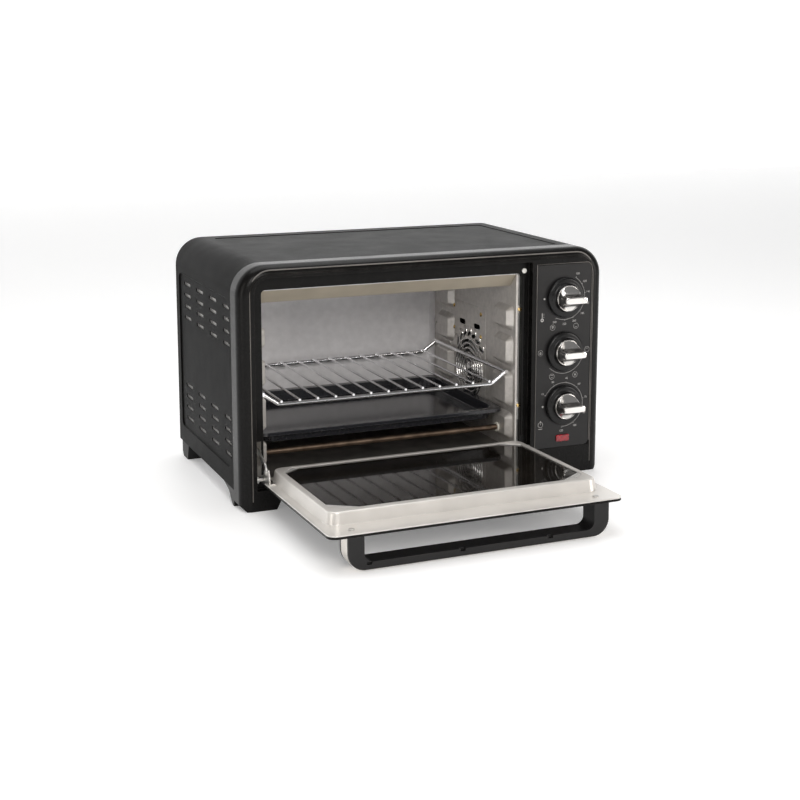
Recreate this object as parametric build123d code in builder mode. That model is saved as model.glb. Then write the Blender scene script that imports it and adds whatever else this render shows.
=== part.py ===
from build123d import *
import os
from math import cos, radians, sin, tan

os.makedirs("parts", exist_ok=True)

# Countertop oven with a drop-down glass door, three dials, a wire rack and a baking tray.
# Millimetres, +Z up, -Y is the front, +X is the cook's right.  The origin is on the table,
# under the middle of the oven with its door open.

# ---- cabinet ----
width = 475
height = 288
depth = 283                     # front face to the rear edge of the cabinet
frame_depth = 31                # front frame, from its face to the seam with the cabinet
corner_radius = 35              # upper corners, seen from the front
sheet = 1.2                     # cabinet steel
cabinet_bottom = 20             # the cabinet stands this far off the table
slot_length = 31
slot_height = 4.2
slot_pitch_y = 59.5
slot_pitch_z = 14.6
slot_middle_y = 142             # middle of the vent slots, behind the front face
side_press = 1.5                # depth of the panels pressed into the sides
slot_groups_z = (79.5, 212.5)   # middle heights of the two groups of vent slots

# ---- front frame ----
frame_wall = 3
frame_round = 13                # outer front edge
frame_bottom = 14               # underside between the feet
foot_width = 50
foot_chamfer = 7
recess_depth = 10               # the door sinks this far into the frame

# ---- door ----
door_center = -40
door_width = 347
door_length = 234               # hinge line to the top edge
door_open_angle = 88.8
door_corner = 10
door_skin = 4                   # outer face to the sealing face
door_gap = 4.5                  # door edge to the recess wall
hinge_y = 4                     # hinge line behind the front face
hinge_z = 37
raised_width = 326
raised_height = 13.5
raised_end = 201                # hinge line to the far side of the raised part
raised_draft = 12
liner_sheet = 1.2
window_border = 10
corner_notch = 12.5             # flange left off beside the hinges
notch_length = 17
handle_span = 307
handle_leg = 18
handle_depth = 25
handle_reach = 36
handle_bar = 8
trim_thickness = 1.2
notch_places = (-130, -24, 81)

# ---- cooking cavity ----
cavity_width = 328.8
cavity_center = -41.9
opening_width = 334
cavity_back = 258               # front face to the rear wall
cavity_floor_z = 33
cavity_ceiling_z = 257
liner = 0.8
lip = 3                         # folded front edge of each side wall
pad_height = 8                  # pressed shelf supports stand this far off the wall
pad_draft = 37
pad_corner = 8
pad_round = 1.4
pad_length = 47
pad_columns = (43, 216)         # middles of the two columns, behind the front face
guide_heights = (83, 135.7, 181)  # rack levels, the gaps between pads
screw_heights = (91, 213)       # screws at the right wall's front edge
screw_radius = 2.3
guide_gap = 7
pads_low = 45
pads_high = 216

# ---- dials ----
panel_left = 145
panel_right = 220.5
panel_low = 35
panel_high = 268
panel_thickness = 2.5
dial_x = 183.5
dial_heights = {"timer": 89.5, "function": 158, "temperature": 226.5}
skirt_radius = 25
cap_radius = 16.5
grip_length = 26
knob_reach = 31                 # panel face to the front of the grip
shaft_radius = 3
running_gap = 0.05
free_gap = 0.3

# ---- rack, tray and fan ----
wire = 5
cross_wire = 3
cross_wires = 13
rack_front = 30
rack_back = 243
rack_drop = 14
tray_depth = 14
tray_sheet = 1
tray_lip = 4.2
tray_front = 38
tray_back = 250
fan_y = 146
fan_z = 113
fan_radius = 40

# ---- link arms ----
pivot_s = 20.5                  # along the door from the hinge line
pivot_h = 13.8                  # above the sealing face
arm_thickness = 2
pin_radius = 2.5
arm_pin_radius = 2

# ---- places worked out from the sizes ----
tilt = 90 - door_open_angle
door_reach = door_length * cos(radians(tilt)) + (door_skin + handle_reach) * sin(radians(tilt)) - hinge_y
front_y = (door_reach - depth) / 2
cavity_left = cavity_center - cavity_width / 2
cavity_right = cavity_center + cavity_width / 2
opening_top = cavity_ceiling_z + 1.5
recess_width = door_width + 2 * door_gap
recess_bottom = hinge_z - 13
recess_top = hinge_z + door_length + 2
inner_x = width / 2 - sheet
floor_y = recess_depth + frame_wall     # back of the recess floor
liner_front = floor_y + 0.5
screw_x = cavity_right + lip + 1.4


def facing(y):
    """Plane seen from the front, y behind the front face: local x is X and local y is Z."""
    return Plane.XZ.offset(-(front_y + y))


def across(x):
    """Plane seen from the right-hand side: local x is Y and local y is Z."""
    return Plane.YZ.offset(x)


def level(z):
    return Plane.XY.offset(z)


def on_door(h):
    """Plane along the door, h inside its sealing face: local x from the middle, local y towards the hinge."""
    normal = (0, sin(radians(tilt)), cos(radians(tilt)))
    return Plane(origin=(door_center, front_y + hinge_y, hinge_z), x_dir=(1, 0, 0), z_dir=normal).offset(h)


def door_section(s):
    """Plane across the door, s from the hinge line: local x from the middle, local y is the height h."""
    along = (0, -cos(radians(tilt)), sin(radians(tilt)))
    return Plane(origin=(door_center, front_y + hinge_y, hinge_z), x_dir=(1, 0, 0), z_dir=along).offset(s)


def door_side(x):
    """Plane square to the hinge line, x from the door's middle: local x is s and local y is h."""
    along = (0, -cos(radians(tilt)), sin(radians(tilt)))
    return Plane(origin=(door_center + x, front_y + hinge_y, hinge_z), x_dir=along, z_dir=(-1, 0, 0))


def patch(x0, x1, y0, y1, mode=Mode.ADD):
    """Rectangle between two corners of the current sketch."""
    with Locations(((x0 + x1) / 2, (y0 + y1) / 2)):
        Rectangle(x1 - x0, y1 - y0, mode=mode)


def arch(span, bottom, top, radius):
    """Rectangle about the Z axis with rounded upper corners."""
    with BuildSketch(mode=Mode.PRIVATE) as outline:
        with Locations((0, (bottom + top) / 2)):
            Rectangle(span, top - bottom)
        fillet(outline.vertices().group_by(Axis.Y)[-1], radius)
    return outline.sketch


def rounded(x0, x1, y0, y1, radius):
    """Rectangle between two corners, all four rounded."""
    with BuildSketch(mode=Mode.PRIVATE) as outline:
        with Locations(((x0 + x1) / 2, (y0 + y1) / 2)):
            RectangleRounded(x1 - x0, y1 - y0, radius)
    return outline.sketch


def recess_outline(grow):
    """Outline of the door recess, grown by a wall."""
    with BuildSketch(mode=Mode.PRIVATE) as outline:
        patch(
            door_center - recess_width / 2 - grow,
            door_center + recess_width / 2 + grow,
            recess_bottom - grow,
            recess_top + grow,
        )
        upper = outline.vertices().group_by(Axis.Y)[-1].sort_by(Axis.X)
        fillet(upper[0], 18 + grow)
        fillet(outline.vertices().group_by(Axis.Y)[-1].sort_by(Axis.X)[-1], 3 + grow)
    return outline.sketch


def finish(piece, name):
    piece.label = name
    export_step(piece, f"parts/{name}.step")


# ---- cabinet: one sheet bent over the top and both sides, with pressed panels and vent slots ----
panel_y0 = front_y + frame_depth + 12
panel_y1 = front_y + depth - 15
with BuildPart() as outer_cabinet:
    with BuildSketch(facing(frame_depth)):
        add(arch(width, cabinet_bottom, height, corner_radius))
        add(
            arch(width - 2 * sheet, cabinet_bottom - 1, height - sheet, corner_radius - sheet),
            mode=Mode.SUBTRACT,
        )
    extrude(amount=-(depth - frame_depth))
    for x, inward in ((width / 2, -1), (-width / 2, 1)):
        panel_low_z = cabinet_bottom + 22
        panel_high_z = height - 42
        with BuildSketch(across(x + inward * sheet)):
            add(rounded(panel_y0, panel_y1, panel_low_z, panel_high_z, 10))
        extrude(amount=inward * side_press, taper=40)
        with BuildSketch(across(x)):
            add(rounded(panel_y0, panel_y1, panel_low_z, panel_high_z, 10))
        extrude(amount=inward * side_press, taper=40, mode=Mode.SUBTRACT)
        for group_z in slot_groups_z:
            with BuildSketch(across(x)):
                with Locations((front_y + slot_middle_y, group_z)):
                    with GridLocations(slot_pitch_y, slot_pitch_z, 4, 4):
                        SlotOverall(slot_length, slot_height)
            extrude(amount=inward * (sheet + side_press), mode=Mode.SUBTRACT)
    with BuildSketch(level(height)):
        add(rounded(-width / 2 + 46, width / 2 - 46, front_y + frame_depth + 6, panel_y1 - 6, 6))
    extrude(amount=-sheet / 2, mode=Mode.SUBTRACT)
finish(outer_cabinet.part, "outer_cabinet")

# ---- back panel: flat steel with vent slots and the hole for the cord gland ----
gland_x = 150
gland_z = 62
gland_radius = 8
back_y = depth - 3
with BuildPart() as back_panel:
    with BuildSketch(facing(back_y)):
        add(
            arch(2 * inner_x - free_gap, cabinet_bottom + sheet, height - sheet - free_gap, corner_radius - sheet)
        )
        with Locations((door_center, 190)):
            with GridLocations(46, 14, 6, 5):
                SlotOverall(36, 4.5, mode=Mode.SUBTRACT)
        with Locations((gland_x + 30, 190)):
            with GridLocations(1, 14, 1, 5):
                SlotOverall(44, 4.5, mode=Mode.SUBTRACT)
        with Locations((gland_x, gland_z)):
            Circle(gland_radius, mode=Mode.SUBTRACT)
    extrude(amount=-sheet)
finish(back_panel.part, "back_panel")

# ---- identical screws that hold the back panel ----
with BuildPart() as back_screws:
    with BuildSketch(facing(back_y + sheet)):
        with Locations((0, (cabinet_bottom + height) / 2)):
            with GridLocations(width - 24, height - cabinet_bottom - 90, 2, 2):
                Circle(3.4)
        with Locations((0, height - 12), (0, cabinet_bottom + 10)):
            Circle(3.4)
    extrude(amount=-1.6)
    fillet(back_screws.faces().filter_by(Axis.Y).group_by(Axis.Y)[-1].edges(), 0.7)
finish(back_screws.part, "back_screws")

# ---- base plate: closes the cabinet underneath ----
with BuildPart() as base_plate:
    with BuildSketch(level(cabinet_bottom)):
        patch(-inner_x + free_gap, inner_x - free_gap, front_y + frame_depth, front_y + back_y)
        with Locations((door_center, front_y + depth / 2)):
            with GridLocations(60, 40, 5, 4):
                SlotOverall(40, 5, mode=Mode.SUBTRACT)
    extrude(amount=sheet)
finish(base_plate.part, "base_plate")

# ---- heat shields: galvanised sheets standing on the base plate, just inside the cabinet sides ----
shield_x = inner_x - side_press - 3
with BuildPart() as heat_shields:
    for side in (-1, 1):
        with BuildSketch(facing(frame_depth + 9)):
            edge = sorted((side * shield_x, side * (shield_x - liner)))
            patch(edge[0], edge[1], cabinet_bottom + sheet, height - corner_radius - 3)
            foot = sorted((side * shield_x, side * (shield_x - 12)))
            patch(foot[0], foot[1], cabinet_bottom + sheet, cabinet_bottom + sheet + liner)
        extrude(amount=-(depth - frame_depth - 24))
finish(heat_shields.part, "heat_shields")

# ---- front frame: one moulding with the door recess, the dial panel seat and the front feet ----
with BuildPart() as frame_hollow:
    with BuildSketch(facing(frame_depth)):
        add(
            arch(
                width - 2 * frame_wall,
                frame_bottom + frame_wall,
                height - frame_wall,
                corner_radius - frame_wall,
            )
        )
    extrude(amount=frame_depth - frame_wall)
    inner_front = frame_hollow.faces().sort_by(Axis.Y)[0].edges()
    fillet(inner_front.filter_by(lambda e: e.center().Z > frame_bottom + foot_width), frame_round - frame_wall)

slot_offset = door_width / 2 - 1        # slot for the link arm, left of the door's middle
slot_bottom = hinge_z + 1
slot_top = hinge_z + 44
slot_width = 6.6
bead_x = 130.3
bead_width = 4.6
bead_height = 2
with BuildPart() as front_frame:
    with BuildSketch(facing(0)) as face:
        add(arch(width, 0, height, corner_radius))
        chamfer(face.vertices().group_by(Axis.Y)[0], foot_chamfer)
        notch = width / 2 - foot_width
        with BuildLine():
            Polyline((-notch - 7, 0), (-notch, frame_bottom), (notch, frame_bottom), (notch + 7, 0), close=True)
        make_face(mode=Mode.SUBTRACT)
    extrude(amount=-frame_depth)
    outer_front = front_frame.faces().sort_by(Axis.Y)[0].edges()
    fillet(outer_front.filter_by(lambda e: e.center().Z > frame_bottom + foot_width), frame_round)
    add(frame_hollow.part, mode=Mode.SUBTRACT)
    # line pressed around the front face, inside the rounded rim
    with BuildSketch(facing(0)):
        add(arch(width - 2 * frame_round - 1, foot_chamfer + 1, height - 10, corner_radius - 10))
        add(
            arch(width - 2 * frame_round - 3.4, foot_chamfer, height - 11.2, corner_radius - 11.2),
            mode=Mode.SUBTRACT,
        )
    extrude(amount=-1, mode=Mode.SUBTRACT)
    # door recess: walls and floor
    with BuildSketch(facing(0)):
        add(recess_outline(frame_wall))
    extrude(amount=-floor_y)
    with BuildSketch(facing(0)):
        add(recess_outline(0))
    extrude(amount=-recess_depth, mode=Mode.SUBTRACT)
    with BuildSketch(facing(recess_depth)):
        add(
            rounded(
                door_center - opening_width / 2,
                door_center + opening_width / 2,
                cavity_floor_z,
                opening_top,
                5,
            )
        )
        with Locations((door_center - slot_offset, (slot_bottom + slot_top) / 2)):
            Rectangle(slot_width, slot_top - slot_bottom)
        for z in screw_heights:
            with Locations((screw_x, z)):
                Circle(screw_radius + 0.5)
    extrude(amount=-frame_wall, mode=Mode.SUBTRACT)
    # bead moulded down the right of the recess floor
    with BuildSketch(level(hinge_z + 16)):
        with Locations((bead_x, front_y + recess_depth)):
            Ellipse(bead_width / 2, bead_height)
    extrude(amount=opening_top - 3 - hinge_z - 16)
    # seat for the dial panel
    with BuildSketch(facing(0)):
        patch(panel_left - 0.4, panel_right + 0.4, panel_low - 0.4, panel_high + 0.4)
    extrude(amount=-frame_wall, mode=Mode.SUBTRACT)
    with BuildSketch(facing(frame_wall)):
        patch(panel_left - 3, panel_right + 3, panel_low - 3, panel_high + 3)
        patch(panel_left + 4, panel_right - 4, panel_low + 4, panel_high - 4, mode=Mode.SUBTRACT)
    extrude(amount=-2.5)
    # feet run back under the cabinet sides
    for side in (-1, 1):
        with BuildSketch(across(side * (width / 2 - foot_width + 4))):
            with BuildLine():
                Polyline(
                    (front_y + frame_depth, 0),
                    (front_y + frame_depth + 6, 0),
                    (front_y + frame_depth + 12, 5),
                    (front_y + frame_depth + 21, cabinet_bottom - 6),
                    (front_y + frame_depth + 43, cabinet_bottom),
                    (front_y + frame_depth, cabinet_bottom),
                    close=True,
                )
            make_face()
        extrude(amount=side * (foot_width - 4))
finish(front_frame.part, "front_frame")

# ---- dial panel: flush plate with three shaft holes and the lamp window ----
lamp_x = dial_x
lamp_z = 46.5
lamp_width = 19
lamp_height = 9
panel_face = 0.3
panel_back = panel_face + panel_thickness
with BuildPart() as control_panel:
    with BuildSketch(facing(panel_face)) as panel_shape:
        patch(panel_left, panel_right, panel_low, panel_high)
        fillet(panel_shape.vertices().group_by(Axis.X)[-1], 6)
        fillet(panel_shape.vertices().group_by(Axis.X)[0], 1.5)
        for z in dial_heights.values():
            with Locations((dial_x, z)):
                Circle(shaft_radius + 1.5, mode=Mode.SUBTRACT)
        with Locations((lamp_x, lamp_z)):
            RectangleRounded(lamp_width, lamp_height, 2, mode=Mode.SUBTRACT)
    extrude(amount=-panel_thickness)
finish(control_panel.part, "control_panel")

# ---- steel bracket behind the panel that carries the three controls ----
bracket_y = frame_wall + 2.5
bracket_sheet = 1.5
bush_radius = 4.8
with BuildPart() as control_bracket:
    with BuildSketch(facing(bracket_y)):
        patch(panel_left + 1, panel_right - 1, panel_low + 1, panel_high - 1)
        for z in dial_heights.values():
            with Locations((dial_x, z)):
                Circle(bush_radius + 0.2, mode=Mode.SUBTRACT)
        with Locations((lamp_x, lamp_z)):
            RectangleRounded(lamp_width, lamp_height, 2, mode=Mode.SUBTRACT)
    extrude(amount=-bracket_sheet)
finish(control_bracket.part, "control_bracket")

# ---- thermostat, function switch and timer: a body, a bush through the bracket and a bore ----
control_y = bracket_y + bracket_sheet
control_bodies = {
    "thermostat": ("temperature", 34, 38, 22),
    "function_switch": ("function", 44, 44, 30),
    "timer_drive": ("timer", 52, 52, 28),
}
for name, (dial, body_w, body_h, body_d) in control_bodies.items():
    with BuildPart() as control_body:
        with BuildSketch(facing(control_y)):
            with Locations((dial_x, dial_heights[dial])):
                RectangleRounded(body_w, body_h, 4)
        extrude(amount=-body_d)
        with BuildSketch(facing(control_y)):
            with Locations((dial_x, dial_heights[dial])):
                Circle(bush_radius)
        extrude(amount=control_y - panel_back - free_gap)
        with BuildSketch(facing(control_y + body_d)):
            with Locations((dial_x, dial_heights[dial])):
                with GridLocations(12, 1, 2, 1):
                    Rectangle(0.8, 6)
        extrude(amount=-8)
        with BuildSketch(facing(panel_back)):
            with Locations((dial_x, dial_heights[dial])):
                Circle(shaft_radius + running_gap)
        extrude(amount=-(control_y - panel_back + 12), mode=Mode.SUBTRACT)
    finish(control_body.part, name)

with BuildPart() as control_nuts:
    for z in dial_heights.values():
        with BuildSketch(facing(bracket_y)):
            with Locations((dial_x, z)):
                RegularPolygon(7.5, 6)
                Circle(bush_radius, mode=Mode.SUBTRACT)
        extrude(amount=bracket_y - panel_back - free_gap)
finish(control_nuts.part, "control_nuts")

# ---- dials: shaft, black skirt and bright grip, turning together ----
skirt_back = -0.6
skirt_front = -9
for dial, z in dial_heights.items():
    dial_axis = Axis((dial_x, front_y, z), (0, 1, 0))
    with BuildPart() as dial_shaft:
        with BuildSketch(facing(skirt_front + 2)):
            with Locations((dial_x, z)):
                Circle(shaft_radius)
        extrude(amount=-(control_y + 10 - skirt_front - 2))
    finish(dial_shaft.part, f"{dial}_shaft")
    with BuildPart() as dial_skirt:
        with BuildSketch(across(dial_x)):
            with BuildLine():
                Polyline(
                    (front_y + skirt_back, z + shaft_radius),
                    (front_y + skirt_back, z + skirt_radius),
                    (front_y + skirt_back - 3.2, z + skirt_radius),
                )
                Spline(
                    (front_y + skirt_back - 3.2, z + skirt_radius),
                    (front_y + skirt_back - 4.6, z + skirt_radius - 1.4),
                    (front_y + skirt_back - 5, z + skirt_radius - 4),
                    (front_y + skirt_front, z + cap_radius),
                )
                Polyline(
                    (front_y + skirt_front, z + cap_radius),
                    (front_y + skirt_front, z + shaft_radius),
                    (front_y + skirt_back, z + shaft_radius),
                )
            make_face()
        revolve(axis=dial_axis)
    finish(dial_skirt.part, f"{dial}_skirt")
    with BuildPart() as dial_grip:
        with BuildSketch(facing(skirt_front)):
            with Locations((dial_x, z)):
                Circle(cap_radius)
        extrude(amount=2.2)
        fillet(dial_grip.faces().sort_by(Axis.Y)[0].edges(), 1.2)
        with BuildSketch(facing(skirt_front - 2.2)):
            with Locations((dial_x, z)):
                Rectangle(grip_length, 11)
        extrude(amount=knob_reach + skirt_front - 2.2, taper=5)
        rim_edges = dial_grip.faces().sort_by(Axis.Y)[0].edges()
        fillet(rim_edges, 1.2)
    finish(dial_grip.part, f"{dial}_grip")

# ---- indicator: red lens in the panel, neon lamp behind it ----
with BuildPart() as lamp_lens:
    with BuildSketch(facing(-1.2)):
        with Locations((lamp_x, lamp_z)):
            RectangleRounded(lamp_width - 0.4, lamp_height - 0.4, 1.8)
    extrude(amount=-(control_y + 1.2))
    fillet(lamp_lens.faces().sort_by(Axis.Y)[0].edges(), 0.8)
finish(lamp_lens.part, "lamp_lens")

with BuildPart() as neon_lamp:
    with BuildSketch(facing(control_y)):
        with Locations((lamp_x, lamp_z)):
            Circle(3.5)
    extrude(amount=-16)
finish(neon_lamp.part, "neon_lamp")

# ---- cavity side walls: pressed sheets with shelf supports; the right one carries the fan grille ----
pad_rows = []
low_edge = pads_low
for guide in guide_heights:
    pad_rows.append((low_edge, guide - guide_gap / 2))
    low_edge = guide + guide_gap / 2
pad_rows.append((low_edge, pads_high))
grille_radii = (36, 29.5, 23, 16.5, 10)   # open rings, outermost first
ring_width = 3.6
grille_crown = 46
heater_radius = 3.6
insulator_radius = 6
upper_heater_z = 246
lower_heater_z = 57
heater_rows = (46, 222)                 # behind the front face, front and rear heaters
heater_places = [(y, z) for y in heater_rows for z in (upper_heater_z, lower_heater_z)]

for side, name in ((-1, "cavity_left_wall"), (1, "cavity_right_wall")):
    wall_x = cavity_center + side * cavity_width / 2
    with BuildPart() as side_wall:
        with BuildSketch(across(wall_x)):
            patch(front_y + liner_front, front_y + cavity_back, cavity_floor_z, cavity_ceiling_z)
        extrude(amount=side * liner)
        with BuildSketch(facing(liner_front)):
            edge = sorted((wall_x, wall_x + side * lip))
            patch(edge[0], edge[1], cavity_floor_z, cavity_ceiling_z)
            if side > 0:
                for z in screw_heights:
                    patch(wall_x, wall_x + lip + 5, z - 5, z + 5)
        extrude(amount=-liner)
        for pad_y in pad_columns:
            for z0, z1 in pad_rows:
                y0 = front_y + pad_y - pad_length / 2
                y1 = front_y + pad_y + pad_length / 2
                with BuildSketch(across(wall_x)):
                    add(rounded(y0, y1, z0, z1, pad_corner))
                extrude(amount=-side * pad_height, taper=pad_draft)
        pad_tops = side_wall.faces().filter_by(Axis.X).sort_by(Axis.X)
        pad_tops = pad_tops[-8:] if side < 0 else pad_tops[:8]
        fillet(pad_tops.edges(), pad_round)
        for pad_y in pad_columns:
            for z0, z1 in pad_rows:
                y0 = front_y + pad_y - pad_length / 2 + liner
                y1 = front_y + pad_y + pad_length / 2 - liner
                with BuildSketch(across(wall_x + side * liner)):
                    add(rounded(y0, y1, z0 + liner, z1 - liner, pad_corner - liner))
                extrude(amount=-side * pad_height, taper=pad_draft, mode=Mode.SUBTRACT)
        if side > 0:
            # fan grille: centre hole, broken rings and a crown of slanted vents above them
            with BuildSketch(across(wall_x)):
                with Locations((front_y + fan_y, fan_z)):
                    for radius in grille_radii:
                        Circle(radius + ring_width / 2)
                        Circle(radius - ring_width / 2, mode=Mode.SUBTRACT)
                    Rectangle(2 * grille_crown, 3, rotation=45, mode=Mode.SUBTRACT)
                    Rectangle(2 * grille_crown, 3, rotation=-45, mode=Mode.SUBTRACT)
                    Circle(3)
                    for leaf in range(7):
                        with PolarLocations(grille_crown, 1, start_angle=40 + 16.5 * leaf):
                            SlotOverall(15, 5, rotation=62)
            extrude(amount=side * liner, mode=Mode.SUBTRACT)
            with BuildSketch(across(wall_x)):
                with Locations((front_y + 124, 172), (front_y + 168, 172)):
                    SlotOverall(19, 7)
            extrude(amount=side * liner, mode=Mode.SUBTRACT)
        with BuildSketch(across(wall_x)):
            with Locations((front_y + 244, 156), (front_y + 252, 156)):
                Circle(1.6)
        extrude(amount=side * liner, mode=Mode.SUBTRACT)
        with BuildSketch(across(wall_x - side * pad_height)):
            for rod_y, rod_z in heater_places:
                with Locations((front_y + rod_y, rod_z)):
                    Circle(insulator_radius)
        extrude(amount=side * (pad_height + liner), mode=Mode.SUBTRACT)
    finish(side_wall.part, name)

# ---- rest of the cavity: ceiling, floor and rear wall ----
with BuildPart() as cavity_ceiling:
    with BuildSketch(level(cavity_ceiling_z)):
        patch(cavity_left - liner, cavity_right + liner, front_y + liner_front, front_y + cavity_back)
    extrude(amount=liner)
finish(cavity_ceiling.part, "cavity_ceiling")

with BuildPart() as cavity_floor:
    with BuildSketch(level(cavity_floor_z)):
        patch(cavity_left - liner, cavity_right + liner, front_y + liner_front, front_y + cavity_back)
    extrude(amount=-liner)
finish(cavity_floor.part, "cavity_floor")

with BuildPart() as cavity_rear_wall:
    with BuildSketch(facing(cavity_back)):
        patch(cavity_left - liner, cavity_right + liner, cavity_floor_z - liner, cavity_ceiling_z + liner)
    extrude(amount=-liner)
    # folded strip up the right corner, where the side wall is joined on
    with BuildSketch(facing(cavity_back)):
        patch(cavity_right - 9, cavity_right, cavity_floor_z, cavity_ceiling_z)
    extrude(amount=liner)
finish(cavity_rear_wall.part, "cavity_rear_wall")

# ---- sloping guard under the top of the opening ----
guard_drop = 16
guard_run = 15
with BuildPart() as upper_guard:
    with BuildSketch(across(cavity_left + free_gap)):
        with BuildLine():
            y0 = front_y + liner_front + 1
            top = cavity_ceiling_z - free_gap
            Polyline(
                (y0, top),
                (y0 + guard_run, top - guard_drop),
                (y0 + guard_run + 5, top - guard_drop),
                (y0 + guard_run + 5, top - guard_drop + liner),
                (y0 + guard_run + 0.5, top - guard_drop + liner),
                (y0 + 1.2, top),
                close=True,
            )
        make_face()
    extrude(amount=cavity_width - 2 * free_gap)
finish(upper_guard.part, "upper_guard")

# ---- screws that hold the right wall's tabs ----
with BuildPart() as liner_screws:
    for z in screw_heights:
        with BuildSketch(facing(liner_front)):
            with Locations((screw_x, z)):
                Circle(screw_radius)
        extrude(amount=1.4)
    fillet(liner_screws.faces().filter_by(Axis.Y).group_by(Axis.Y)[0].edges(), 0.6)
finish(liner_screws.part, "liner_screws")

# ---- tubular heaters, two above and two below, each held by a ceramic bush in both side walls ----
rod_overhang = 12
for name, z in (("upper_heaters", upper_heater_z), ("lower_heaters", lower_heater_z)):
    with BuildPart() as heaters:
        for y in heater_rows:
            with BuildSketch(across(cavity_left - rod_overhang)):
                with Locations((front_y + y, z)):
                    Circle(heater_radius)
            extrude(amount=cavity_width + 2 * rod_overhang)
    finish(heaters.part, name)

with BuildPart() as heater_bushes:
    for side in (-1, 1):
        wall_x = cavity_center + side * cavity_width / 2
        for y, z in heater_places:
            with BuildSketch(across(wall_x - side * (pad_height + 1.5))):
                with Locations((front_y + y, z)):
                    Circle(insulator_radius)
                    Circle(heater_radius, mode=Mode.SUBTRACT)
            extrude(amount=side * (pad_height + 8.5))
finish(heater_bushes.part, "heater_bushes")

# ---- convection fan behind the grille: pan, wheel on its shaft, motor ----
fan_center = (front_y + fan_y, fan_z)
pan_x = cavity_right + liner
pan_depth = 32
with BuildPart() as fan_pan:
    with BuildSketch(across(pan_x)):
        with Locations(fan_center):
            Circle(fan_radius + 16)
    extrude(amount=liner)
    with BuildSketch(across(pan_x)):
        with Locations(fan_center):
            Circle(fan_radius + 10)
    extrude(amount=pan_depth)
    fillet(fan_pan.faces().sort_by(Axis.X)[-1].edges(), 1.8)
    with BuildSketch(across(pan_x)):
        with Locations(fan_center):
            Circle(fan_radius + 10 - liner)
    extrude(amount=pan_depth - liner, mode=Mode.SUBTRACT)
    with BuildSketch(across(pan_x)):
        with Locations(fan_center):
            Circle(6)
    extrude(amount=pan_depth, mode=Mode.SUBTRACT)
finish(fan_pan.part, "fan_pan")

with BuildPart() as fan_wheel:
    with BuildSketch(across(pan_x + 16)):
        with Locations(fan_center):
            Circle(fan_radius)
    extrude(amount=liner)
    with BuildSketch(across(pan_x + 4)):
        with Locations(fan_center):
            with PolarLocations(fan_radius * 0.7, 10):
                Rectangle(fan_radius * 0.5, liner)
    extrude(amount=12)
    with BuildSketch(across(pan_x + 8)):
        with Locations(fan_center):
            Circle(6)
            Circle(pin_radius, mode=Mode.SUBTRACT)
    extrude(amount=16)
    with BuildSketch(across(pan_x + 16)):
        with Locations(fan_center):
            Circle(pin_radius)
    extrude(amount=liner, mode=Mode.SUBTRACT)
finish(fan_wheel.part, "fan_wheel")

motor_x = pan_x + pan_depth + 2
with BuildPart() as fan_shaft:
    with BuildSketch(across(pan_x + 6)):
        with Locations(fan_center):
            Circle(pin_radius)
    extrude(amount=motor_x + 20 - pan_x - 6)
finish(fan_shaft.part, "fan_shaft")

with BuildPart() as fan_motor:
    with BuildSketch(across(motor_x)):
        with Locations(fan_center):
            Circle(26)
    extrude(amount=26)
    fillet(fan_motor.faces().sort_by(Axis.X)[-1].edges(), 4)
    with BuildSketch(across(motor_x)):
        with Locations(fan_center):
            with GridLocations(70, 1, 2, 1):
                SlotOverall(30, 12)
    extrude(amount=2)
    with BuildSketch(across(motor_x - 2)):
        with Locations(fan_center):
            with GridLocations(84, 1, 2, 1):
                Circle(3.5)
    extrude(amount=2)
    with BuildSketch(across(motor_x)):
        with Locations(fan_center):
            Circle(pin_radius + running_gap)
    extrude(amount=21, mode=Mode.SUBTRACT)
finish(fan_motor.part, "fan_motor")

# ---- rear feet, cord gland and terminal block ----
with BuildPart() as rear_feet:
    for side in (-1, 1):
        with BuildSketch(across(side * (width / 2 - 36))):
            with BuildLine():
                back = front_y + depth - 12
                Polyline(
                    (back, cabinet_bottom),
                    (back, 6),
                    (back - 6, 0),
                    (back - 26, 0),
                    (back - 32, cabinet_bottom),
                    close=True,
                )
            make_face()
        extrude(amount=side * 36)
finish(rear_feet.part, "rear_feet")

with BuildPart() as cord_gland:
    with BuildSketch(facing(back_y - 8)):
        with Locations((gland_x, gland_z)):
            Circle(gland_radius)
            Circle(4, mode=Mode.SUBTRACT)
    extrude(amount=-(depth - back_y + 8))
    with BuildSketch(facing(back_y + sheet)):
        with Locations((gland_x, gland_z)):
            Circle(gland_radius + 3)
            Circle(gland_radius, mode=Mode.SUBTRACT)
    extrude(amount=-(depth - back_y - sheet))
finish(cord_gland.part, "cord_gland")

with BuildPart() as terminal_block:
    with BuildSketch(level(cabinet_bottom + sheet)):
        with Locations((gland_x, front_y + 200)):
            Rectangle(44, 22)
    extrude(amount=18)
    with BuildSketch(level(cabinet_bottom + sheet + 18)):
        with Locations((gland_x, front_y + 200)):
            with GridLocations(14, 10, 3, 2):
                Circle(3)
    extrude(amount=-9, mode=Mode.SUBTRACT)
finish(terminal_block.part, "terminal_block")

# ---- hinge pins on the recess walls, bumper in the recess corner ----
ear_offset = slot_offset - 1.3          # outer face of each door ear
ear_thickness = 1.4
with BuildPart() as hinge_pins:
    for side in (-1, 1):
        wall_x = door_center + side * recess_width / 2
        inner_end = door_center + side * (ear_offset - ear_thickness - 1.5)
        with BuildSketch(across(wall_x)):
            with Locations((front_y + hinge_y, hinge_z)):
                Circle(pin_radius)
        extrude(amount=inner_end - wall_x)
        with BuildSketch(across(wall_x)):
            with Locations((front_y + hinge_y, hinge_z)):
                Circle(pin_radius + 2)
        extrude(amount=-side * 2)
finish(hinge_pins.part, "hinge_pins")

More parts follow.
